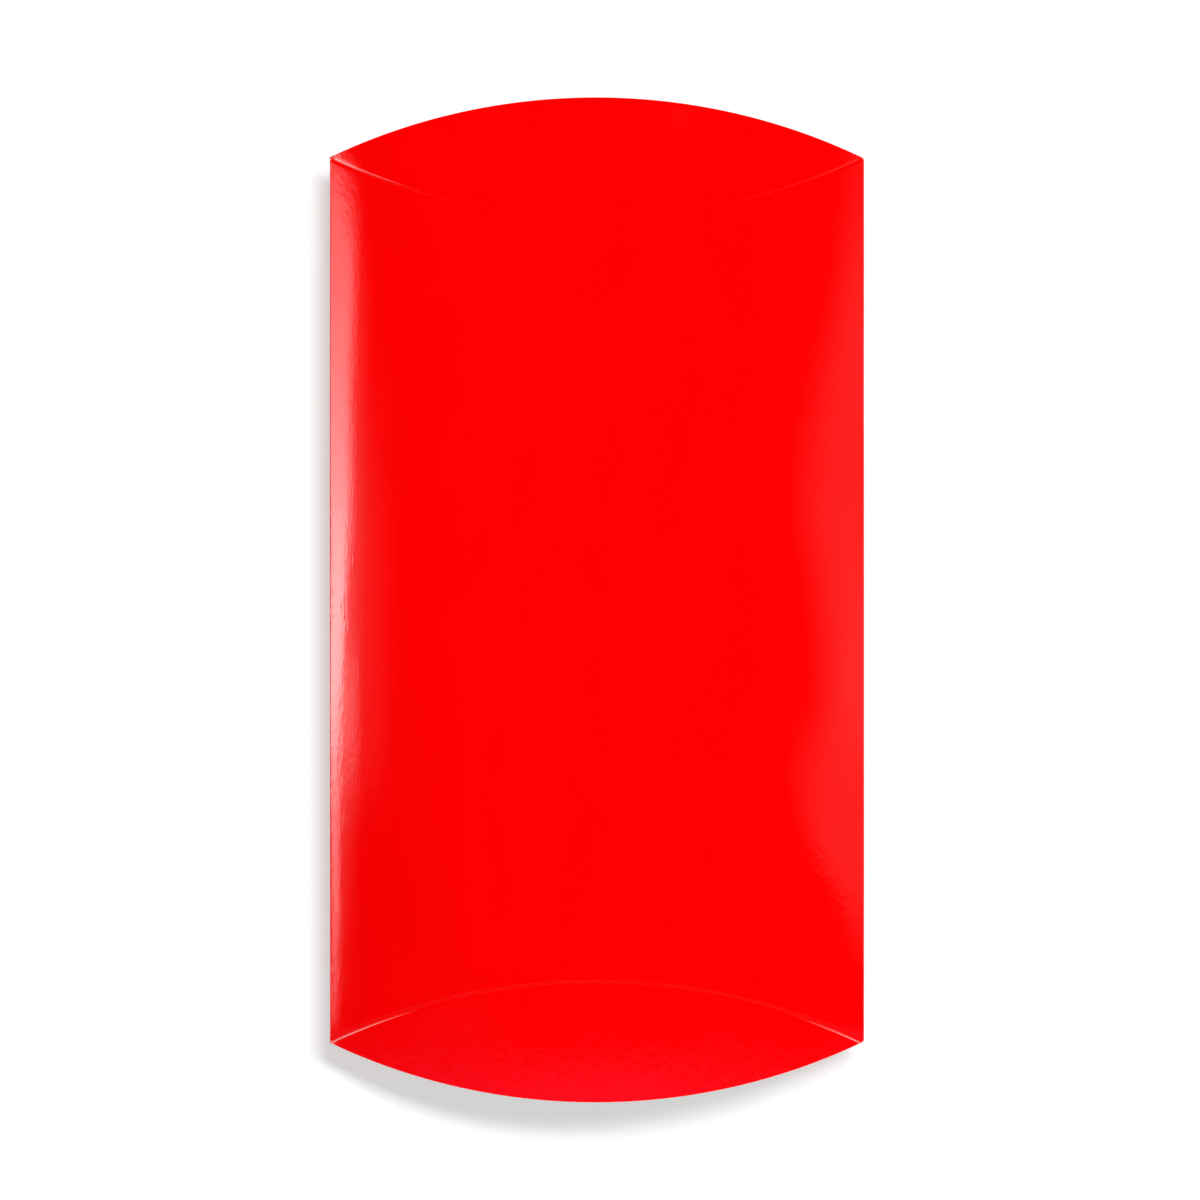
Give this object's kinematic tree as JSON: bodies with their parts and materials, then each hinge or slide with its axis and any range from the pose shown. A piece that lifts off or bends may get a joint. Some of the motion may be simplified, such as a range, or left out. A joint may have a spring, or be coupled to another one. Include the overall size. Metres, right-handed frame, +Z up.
{
  "type": "pillow box",
  "caption": "Gloss red card pillow box, popped open into a lens-shaped sleeve, with curved closing flaps at both ends and a glued side seam.",
  "frame": {"origin": "under the middle of the back panel, on the surface the box lies on", "axes": "+Y along the box to its top end, +X across it to the right side fold, +Z up through the front panel"},
  "size_m": [0.1119, 0.2066, 0.0277],
  "materials": {
    "card": "gloss laminated red outside, uncoated white inside",
    "adhesive": "dried carton glue"
  },
  "bodies": {
    "front_panel_left_4": {"front_panel_left_4": "card"},
    "front_panel_left_3": {"front_panel_left_3": "card"},
    "front_panel_left_2": {"front_panel_left_2": "card"},
    "front_panel_left_1": {"front_panel_left_1": "card"},
    "front_panel_centre": {"front_panel_centre": "card"},
    "front_panel_right_1": {"front_panel_right_1": "card"},
    "front_panel_right_2": {"front_panel_right_2": "card"},
    "front_panel_right_3": {"front_panel_right_3": "card"},
    "front_panel_right_4": {"front_panel_right_4": "card"},
    "top_front_flap_left_4": {"top_front_flap_left_4": "card"},
    "top_front_flap_left_3": {"top_front_flap_left_3": "card"},
    "top_front_flap_left_2": {"top_front_flap_left_2": "card"},
    "top_front_flap_left_1": {"top_front_flap_left_1": "card"},
    "top_front_flap_centre": {"top_front_flap_centre": "card"},
    "top_front_flap_right_1": {"top_front_flap_right_1": "card"},
    "top_front_flap_right_2": {"top_front_flap_right_2": "card"},
    "top_front_flap_right_3": {"top_front_flap_right_3": "card"},
    "top_front_flap_right_4": {"top_front_flap_right_4": "card"},
    "bottom_front_flap_left_4": {"bottom_front_flap_left_4": "card"},
    "bottom_front_flap_left_3": {"bottom_front_flap_left_3": "card"},
    "bottom_front_flap_left_2": {"bottom_front_flap_left_2": "card"},
    "bottom_front_flap_left_1": {"bottom_front_flap_left_1": "card"},
    "bottom_front_flap_centre": {"bottom_front_flap_centre": "card"},
    "bottom_front_flap_right_1": {"bottom_front_flap_right_1": "card"},
    "bottom_front_flap_right_2": {"bottom_front_flap_right_2": "card"},
    "bottom_front_flap_right_3": {"bottom_front_flap_right_3": "card"},
    "bottom_front_flap_right_4": {"bottom_front_flap_right_4": "card"},
    "back_panel_left_4": {"back_panel_left_4": "card", "glue_tab": "card", "glue_line": "adhesive", "left_side_fold": "card"},
    "back_panel_left_3": {"back_panel_left_3": "card"},
    "back_panel_left_2": {"back_panel_left_2": "card"},
    "back_panel_left_1": {"back_panel_left_1": "card"},
    "back_panel_centre": {"back_panel_centre": "card"},
    "back_panel_right_1": {"back_panel_right_1": "card"},
    "back_panel_right_2": {"back_panel_right_2": "card"},
    "back_panel_right_3": {"back_panel_right_3": "card"},
    "back_panel_right_4": {"back_panel_right_4": "card", "right_side_fold": "card"},
    "top_back_flap_left_4": {"top_back_flap_left_4": "card"},
    "top_back_flap_left_3": {"top_back_flap_left_3": "card"},
    "top_back_flap_left_2": {"top_back_flap_left_2": "card"},
    "top_back_flap_left_1": {"top_back_flap_left_1": "card"},
    "top_back_flap_centre": {"top_back_flap_centre": "card"},
    "top_back_flap_right_1": {"top_back_flap_right_1": "card"},
    "top_back_flap_right_2": {"top_back_flap_right_2": "card"},
    "top_back_flap_right_3": {"top_back_flap_right_3": "card"},
    "top_back_flap_right_4": {"top_back_flap_right_4": "card"},
    "bottom_back_flap_left_4": {"bottom_back_flap_left_4": "card"},
    "bottom_back_flap_left_3": {"bottom_back_flap_left_3": "card"},
    "bottom_back_flap_left_2": {"bottom_back_flap_left_2": "card"},
    "bottom_back_flap_left_1": {"bottom_back_flap_left_1": "card"},
    "bottom_back_flap_centre": {"bottom_back_flap_centre": "card"},
    "bottom_back_flap_right_1": {"bottom_back_flap_right_1": "card"},
    "bottom_back_flap_right_2": {"bottom_back_flap_right_2": "card"},
    "bottom_back_flap_right_3": {"bottom_back_flap_right_3": "card"},
    "bottom_back_flap_right_4": {"bottom_back_flap_right_4": "card"}
  },
  "joints": [
    {"name": "sleeve_flattening", "type": "hinge", "parent": "back_panel_left_4", "child": "front_panel_left_4", "pos_m": [-0.05495, 0, 0.01413], "axis": [0, -1, 0], "range_deg": [-46.33, 0]},
    {"name": "back_panel_right_1_bend", "type": "hinge", "parent": "back_panel_centre", "child": "back_panel_right_1", "pos_m": [0.0064, 0, 0.00062], "axis": [0, -1, 0], "range_deg": [-5.79, 0]},
    {"name": "back_panel_left_1_bend", "type": "hinge", "parent": "back_panel_centre", "child": "back_panel_left_1", "pos_m": [-0.0064, 0, 0.00062], "axis": [0, 1, 0], "range_deg": [-5.79, 0]},
    {"name": "back_panel_right_2_bend", "type": "hinge", "parent": "back_panel_right_1", "child": "back_panel_right_2", "pos_m": [0.01913, 0, 0.00196], "axis": [0, -1, 0], "range_deg": [-5.79, 0]},
    {"name": "back_panel_left_2_bend", "type": "hinge", "parent": "back_panel_left_1", "child": "back_panel_left_2", "pos_m": [-0.01913, 0, 0.00196], "axis": [0, 1, 0], "range_deg": [-5.79, 0]},
    {"name": "back_panel_right_3_bend", "type": "hinge", "parent": "back_panel_right_2", "child": "back_panel_right_3", "pos_m": [0.03165, 0, 0.00464], "axis": [0, -1, 0], "range_deg": [-5.79, 0]},
    {"name": "back_panel_left_3_bend", "type": "hinge", "parent": "back_panel_left_2", "child": "back_panel_left_3", "pos_m": [-0.03165, 0, 0.00464], "axis": [0, 1, 0], "range_deg": [-5.79, 0]},
    {"name": "back_panel_right_4_bend", "type": "hinge", "parent": "back_panel_right_3", "child": "back_panel_right_4", "pos_m": [0.04382, 0, 0.00862], "axis": [0, -1, 0], "range_deg": [-5.79, 0]},
    {"name": "back_panel_left_4_bend", "type": "hinge", "parent": "back_panel_left_3", "child": "back_panel_left_4", "pos_m": [-0.04382, 0, 0.00862], "axis": [0, 1, 0], "range_deg": [-5.79, 0]},
    {"name": "front_panel_left_3_bend", "type": "hinge", "parent": "front_panel_left_4", "child": "front_panel_left_3", "pos_m": [-0.04382, 0, 0.01908], "axis": [0, 1, 0], "range_deg": [-5.79, 0]},
    {"name": "front_panel_left_2_bend", "type": "hinge", "parent": "front_panel_left_3", "child": "front_panel_left_2", "pos_m": [-0.03165, 0, 0.02306], "axis": [0, 1, 0], "range_deg": [-5.79, 0]},
    {"name": "front_panel_left_1_bend", "type": "hinge", "parent": "front_panel_left_2", "child": "front_panel_left_1", "pos_m": [-0.01913, 0, 0.02574], "axis": [0, 1, 0], "range_deg": [-5.79, 0]},
    {"name": "front_panel_centre_bend", "type": "hinge", "parent": "front_panel_left_1", "child": "front_panel_centre", "pos_m": [-0.0064, 0, 0.02708], "axis": [0, 1, 0], "range_deg": [-5.79, 0]},
    {"name": "front_panel_right_1_bend", "type": "hinge", "parent": "front_panel_centre", "child": "front_panel_right_1", "pos_m": [0.0064, 0, 0.02708], "axis": [0, 1, 0], "range_deg": [-5.79, 0]},
    {"name": "front_panel_right_2_bend", "type": "hinge", "parent": "front_panel_right_1", "child": "front_panel_right_2", "pos_m": [0.01913, 0, 0.02574], "axis": [0, 1, 0], "range_deg": [-5.79, 0]},
    {"name": "front_panel_right_3_bend", "type": "hinge", "parent": "front_panel_right_2", "child": "front_panel_right_3", "pos_m": [0.03165, 0, 0.02306], "axis": [0, 1, 0], "range_deg": [-5.79, 0]},
    {"name": "front_panel_right_4_bend", "type": "hinge", "parent": "front_panel_right_3", "child": "front_panel_right_4", "pos_m": [0.04382, 0, 0.01908], "axis": [0, 1, 0], "range_deg": [-5.79, 0]},
    {"name": "top_front_flap_fold", "type": "hinge", "parent": "front_panel_centre", "child": "top_front_flap_centre", "pos_m": [0, 0.07887, 0.02708], "axis": [-1, 0, 0], "range_deg": [0, 90]},
    {"name": "top_front_flap_left_1_fold", "type": "hinge", "parent": "front_panel_left_1", "child": "top_front_flap_left_1", "pos_m": [-0.01277, 0.07954, 0.02641], "axis": [-0.989, 0.1045, -0.1045], "range_deg": [0, 90.63]},
    {"name": "top_front_flap_right_1_fold", "type": "hinge", "parent": "front_panel_right_1", "child": "top_front_flap_right_1", "pos_m": [0.01277, 0.07954, 0.02641], "axis": [-0.989, -0.1045, 0.1045], "range_deg": [0, 90.63]},
    {"name": "top_front_flap_left_2_fold", "type": "hinge", "parent": "front_panel_left_2", "child": "top_front_flap_left_2", "pos_m": [-0.02539, 0.08155, 0.0244], "axis": [-0.9572, 0.2046, -0.2046], "range_deg": [0, 92.5]},
    {"name": "top_front_flap_right_2_fold", "type": "hinge", "parent": "front_panel_right_2", "child": "top_front_flap_right_2", "pos_m": [0.02539, 0.08155, 0.0244], "axis": [-0.9572, -0.2046, 0.2046], "range_deg": [0, 92.5]},
    {"name": "top_front_flap_left_3_fold", "type": "hinge", "parent": "front_panel_left_3", "child": "top_front_flap_left_3", "pos_m": [-0.03773, 0.08488, 0.02107], "axis": [-0.9077, 0.2967, -0.2967], "range_deg": [0, 95.54]},
    {"name": "top_front_flap_right_3_fold", "type": "hinge", "parent": "front_panel_right_3", "child": "top_front_flap_right_3", "pos_m": [0.03773, 0.08488, 0.02107], "axis": [-0.9077, -0.2967, 0.2967], "range_deg": [0, 95.54]},
    {"name": "top_front_flap_left_4_fold", "type": "hinge", "parent": "front_panel_left_4", "child": "top_front_flap_left_4", "pos_m": [-0.04966, 0.08948, 0.01647], "axis": [-0.8447, 0.3784, -0.3784], "range_deg": [0, 99.62]},
    {"name": "top_front_flap_right_4_fold", "type": "hinge", "parent": "front_panel_right_4", "child": "top_front_flap_right_4", "pos_m": [0.04966, 0.08948, 0.01647], "axis": [-0.8447, -0.3784, 0.3784], "range_deg": [0, 99.62]},
    {"name": "top_back_flap_fold", "type": "hinge", "parent": "back_panel_centre", "child": "top_back_flap_centre", "pos_m": [0, 0.07802, 0.00062], "axis": [1, 0, 0], "range_deg": [0, 90]},
    {"name": "top_back_flap_left_1_fold", "type": "hinge", "parent": "back_panel_left_1", "child": "top_back_flap_left_1", "pos_m": [-0.01277, 0.07869, 0.00129], "axis": [0.989, -0.1045, -0.1045], "range_deg": [0, 90.63]},
    {"name": "top_back_flap_right_1_fold", "type": "hinge", "parent": "back_panel_right_1", "child": "top_back_flap_right_1", "pos_m": [0.01277, 0.07869, 0.00129], "axis": [0.989, 0.1045, 0.1045], "range_deg": [0, 90.63]},
    {"name": "top_back_flap_left_2_fold", "type": "hinge", "parent": "back_panel_left_2", "child": "top_back_flap_left_2", "pos_m": [-0.02539, 0.0807, 0.0033], "axis": [0.9572, -0.2046, -0.2046], "range_deg": [0, 92.5]},
    {"name": "top_back_flap_right_2_fold", "type": "hinge", "parent": "back_panel_right_2", "child": "top_back_flap_right_2", "pos_m": [0.02539, 0.0807, 0.0033], "axis": [0.9572, 0.2046, 0.2046], "range_deg": [0, 92.5]},
    {"name": "top_back_flap_left_3_fold", "type": "hinge", "parent": "back_panel_left_3", "child": "top_back_flap_left_3", "pos_m": [-0.03773, 0.08403, 0.00663], "axis": [0.9077, -0.2967, -0.2967], "range_deg": [0, 95.54]},
    {"name": "top_back_flap_right_3_fold", "type": "hinge", "parent": "back_panel_right_3", "child": "top_back_flap_right_3", "pos_m": [0.03773, 0.08403, 0.00663], "axis": [0.9077, 0.2967, 0.2967], "range_deg": [0, 95.54]},
    {"name": "top_back_flap_left_4_fold", "type": "hinge", "parent": "back_panel_left_4", "child": "top_back_flap_left_4", "pos_m": [-0.04966, 0.08863, 0.01123], "axis": [0.8447, -0.3784, -0.3784], "range_deg": [0, 99.62]},
    {"name": "top_back_flap_right_4_fold", "type": "hinge", "parent": "back_panel_right_4", "child": "top_back_flap_right_4", "pos_m": [0.04966, 0.08863, 0.01123], "axis": [0.8447, 0.3784, 0.3784], "range_deg": [0, 99.62]},
    {"name": "bottom_front_flap_fold", "type": "hinge", "parent": "front_panel_centre", "child": "bottom_front_flap_centre", "pos_m": [0, -0.07887, 0.02708], "axis": [1, 0, 0], "range_deg": [0, 90]},
    {"name": "bottom_front_flap_left_1_fold", "type": "hinge", "parent": "front_panel_left_1", "child": "bottom_front_flap_left_1", "pos_m": [-0.01277, -0.07954, 0.02641], "axis": [0.989, 0.1045, 0.1045], "range_deg": [0, 90.63]},
    {"name": "bottom_front_flap_right_1_fold", "type": "hinge", "parent": "front_panel_right_1", "child": "bottom_front_flap_right_1", "pos_m": [0.01277, -0.07954, 0.02641], "axis": [0.989, -0.1045, -0.1045], "range_deg": [0, 90.63]},
    {"name": "bottom_front_flap_left_2_fold", "type": "hinge", "parent": "front_panel_left_2", "child": "bottom_front_flap_left_2", "pos_m": [-0.02539, -0.08155, 0.0244], "axis": [0.9572, 0.2046, 0.2046], "range_deg": [0, 92.5]},
    {"name": "bottom_front_flap_right_2_fold", "type": "hinge", "parent": "front_panel_right_2", "child": "bottom_front_flap_right_2", "pos_m": [0.02539, -0.08155, 0.0244], "axis": [0.9572, -0.2046, -0.2046], "range_deg": [0, 92.5]},
    {"name": "bottom_front_flap_left_3_fold", "type": "hinge", "parent": "front_panel_left_3", "child": "bottom_front_flap_left_3", "pos_m": [-0.03773, -0.08488, 0.02107], "axis": [0.9077, 0.2967, 0.2967], "range_deg": [0, 95.54]},
    {"name": "bottom_front_flap_right_3_fold", "type": "hinge", "parent": "front_panel_right_3", "child": "bottom_front_flap_right_3", "pos_m": [0.03773, -0.08488, 0.02107], "axis": [0.9077, -0.2967, -0.2967], "range_deg": [0, 95.54]},
    {"name": "bottom_front_flap_left_4_fold", "type": "hinge", "parent": "front_panel_left_4", "child": "bottom_front_flap_left_4", "pos_m": [-0.04966, -0.08948, 0.01647], "axis": [0.8447, 0.3784, 0.3784], "range_deg": [0, 99.62]},
    {"name": "bottom_front_flap_right_4_fold", "type": "hinge", "parent": "front_panel_right_4", "child": "bottom_front_flap_right_4", "pos_m": [0.04966, -0.08948, 0.01647], "axis": [0.8447, -0.3784, -0.3784], "range_deg": [0, 99.62]},
    {"name": "bottom_back_flap_fold", "type": "hinge", "parent": "back_panel_centre", "child": "bottom_back_flap_centre", "pos_m": [0, -0.07802, 0.00062], "axis": [-1, 0, 0], "range_deg": [0, 90]},
    {"name": "bottom_back_flap_left_1_fold", "type": "hinge", "parent": "back_panel_left_1", "child": "bottom_back_flap_left_1", "pos_m": [-0.01277, -0.07869, 0.00129], "axis": [-0.989, -0.1045, 0.1045], "range_deg": [0, 90.63]},
    {"name": "bottom_back_flap_right_1_fold", "type": "hinge", "parent": "back_panel_right_1", "child": "bottom_back_flap_right_1", "pos_m": [0.01277, -0.07869, 0.00129], "axis": [-0.989, 0.1045, -0.1045], "range_deg": [0, 90.63]},
    {"name": "bottom_back_flap_left_2_fold", "type": "hinge", "parent": "back_panel_left_2", "child": "bottom_back_flap_left_2", "pos_m": [-0.02539, -0.0807, 0.0033], "axis": [-0.9572, -0.2046, 0.2046], "range_deg": [0, 92.5]},
    {"name": "bottom_back_flap_right_2_fold", "type": "hinge", "parent": "back_panel_right_2", "child": "bottom_back_flap_right_2", "pos_m": [0.02539, -0.0807, 0.0033], "axis": [-0.9572, 0.2046, -0.2046], "range_deg": [0, 92.5]},
    {"name": "bottom_back_flap_left_3_fold", "type": "hinge", "parent": "back_panel_left_3", "child": "bottom_back_flap_left_3", "pos_m": [-0.03773, -0.08403, 0.00663], "axis": [-0.9077, -0.2967, 0.2967], "range_deg": [0, 95.54]},
    {"name": "bottom_back_flap_right_3_fold", "type": "hinge", "parent": "back_panel_right_3", "child": "bottom_back_flap_right_3", "pos_m": [0.03773, -0.08403, 0.00663], "axis": [-0.9077, 0.2967, -0.2967], "range_deg": [0, 95.54]},
    {"name": "bottom_back_flap_left_4_fold", "type": "hinge", "parent": "back_panel_left_4", "child": "bottom_back_flap_left_4", "pos_m": [-0.04966, -0.08863, 0.01123], "axis": [-0.8447, -0.3784, 0.3784], "range_deg": [0, 99.62]},
    {"name": "bottom_back_flap_right_4_fold", "type": "hinge", "parent": "back_panel_right_4", "child": "bottom_back_flap_right_4", "pos_m": [0.04966, -0.08863, 0.01123], "axis": [-0.8447, 0.3784, -0.3784], "range_deg": [0, 99.62]}
  ],
  "couplings": [
    {"joint": "back_panel_right_1_bend", "follows": "sleeve_flattening", "ratio": 0.125},
    {"joint": "back_panel_left_1_bend", "follows": "sleeve_flattening", "ratio": 0.125},
    {"joint": "back_panel_right_2_bend", "follows": "sleeve_flattening", "ratio": 0.125},
    {"joint": "back_panel_left_2_bend", "follows": "sleeve_flattening", "ratio": 0.125},
    {"joint": "back_panel_right_3_bend", "follows": "sleeve_flattening", "ratio": 0.125},
    {"joint": "back_panel_left_3_bend", "follows": "sleeve_flattening", "ratio": 0.125},
    {"joint": "back_panel_right_4_bend", "follows": "sleeve_flattening", "ratio": 0.125},
    {"joint": "back_panel_left_4_bend", "follows": "sleeve_flattening", "ratio": 0.125},
    {"joint": "front_panel_left_3_bend", "follows": "sleeve_flattening", "ratio": 0.125},
    {"joint": "front_panel_left_2_bend", "follows": "sleeve_flattening", "ratio": 0.125},
    {"joint": "front_panel_left_1_bend", "follows": "sleeve_flattening", "ratio": 0.125},
    {"joint": "front_panel_centre_bend", "follows": "sleeve_flattening", "ratio": 0.125},
    {"joint": "front_panel_right_1_bend", "follows": "sleeve_flattening", "ratio": 0.125},
    {"joint": "front_panel_right_2_bend", "follows": "sleeve_flattening", "ratio": 0.125},
    {"joint": "front_panel_right_3_bend", "follows": "sleeve_flattening", "ratio": 0.125},
    {"joint": "front_panel_right_4_bend", "follows": "sleeve_flattening", "ratio": 0.125},
    {"joint": "top_front_flap_left_1_fold", "follows": "top_front_flap_fold", "ratio": 1.007},
    {"joint": "top_front_flap_right_1_fold", "follows": "top_front_flap_fold", "ratio": 1.007},
    {"joint": "top_front_flap_left_2_fold", "follows": "top_front_flap_fold", "ratio": 1.0278},
    {"joint": "top_front_flap_right_2_fold", "follows": "top_front_flap_fold", "ratio": 1.0278},
    {"joint": "top_front_flap_left_3_fold", "follows": "top_front_flap_fold", "ratio": 1.0615},
    {"joint": "top_front_flap_right_3_fold", "follows": "top_front_flap_fold", "ratio": 1.0615},
    {"joint": "top_front_flap_left_4_fold", "follows": "top_front_flap_fold", "ratio": 1.1069},
    {"joint": "top_front_flap_right_4_fold", "follows": "top_front_flap_fold", "ratio": 1.1069},
    {"joint": "top_back_flap_left_1_fold", "follows": "top_back_flap_fold", "ratio": 1.007},
    {"joint": "top_back_flap_right_1_fold", "follows": "top_back_flap_fold", "ratio": 1.007},
    {"joint": "top_back_flap_left_2_fold", "follows": "top_back_flap_fold", "ratio": 1.0278},
    {"joint": "top_back_flap_right_2_fold", "follows": "top_back_flap_fold", "ratio": 1.0278},
    {"joint": "top_back_flap_left_3_fold", "follows": "top_back_flap_fold", "ratio": 1.0615},
    {"joint": "top_back_flap_right_3_fold", "follows": "top_back_flap_fold", "ratio": 1.0615},
    {"joint": "top_back_flap_left_4_fold", "follows": "top_back_flap_fold", "ratio": 1.1069},
    {"joint": "top_back_flap_right_4_fold", "follows": "top_back_flap_fold", "ratio": 1.1069},
    {"joint": "bottom_front_flap_left_1_fold", "follows": "bottom_front_flap_fold", "ratio": 1.007},
    {"joint": "bottom_front_flap_right_1_fold", "follows": "bottom_front_flap_fold", "ratio": 1.007},
    {"joint": "bottom_front_flap_left_2_fold", "follows": "bottom_front_flap_fold", "ratio": 1.0278},
    {"joint": "bottom_front_flap_right_2_fold", "follows": "bottom_front_flap_fold", "ratio": 1.0278},
    {"joint": "bottom_front_flap_left_3_fold", "follows": "bottom_front_flap_fold", "ratio": 1.0615},
    {"joint": "bottom_front_flap_right_3_fold", "follows": "bottom_front_flap_fold", "ratio": 1.0615},
    {"joint": "bottom_front_flap_left_4_fold", "follows": "bottom_front_flap_fold", "ratio": 1.1069},
    {"joint": "bottom_front_flap_right_4_fold", "follows": "bottom_front_flap_fold", "ratio": 1.1069},
    {"joint": "bottom_back_flap_left_1_fold", "follows": "bottom_back_flap_fold", "ratio": 1.007},
    {"joint": "bottom_back_flap_right_1_fold", "follows": "bottom_back_flap_fold", "ratio": 1.007},
    {"joint": "bottom_back_flap_left_2_fold", "follows": "bottom_back_flap_fold", "ratio": 1.0278},
    {"joint": "bottom_back_flap_right_2_fold", "follows": "bottom_back_flap_fold", "ratio": 1.0278},
    {"joint": "bottom_back_flap_left_3_fold", "follows": "bottom_back_flap_fold", "ratio": 1.0615},
    {"joint": "bottom_back_flap_right_3_fold", "follows": "bottom_back_flap_fold", "ratio": 1.0615},
    {"joint": "bottom_back_flap_left_4_fold", "follows": "bottom_back_flap_fold", "ratio": 1.1069},
    {"joint": "bottom_back_flap_right_4_fold", "follows": "bottom_back_flap_fold", "ratio": 1.1069}
  ]
}
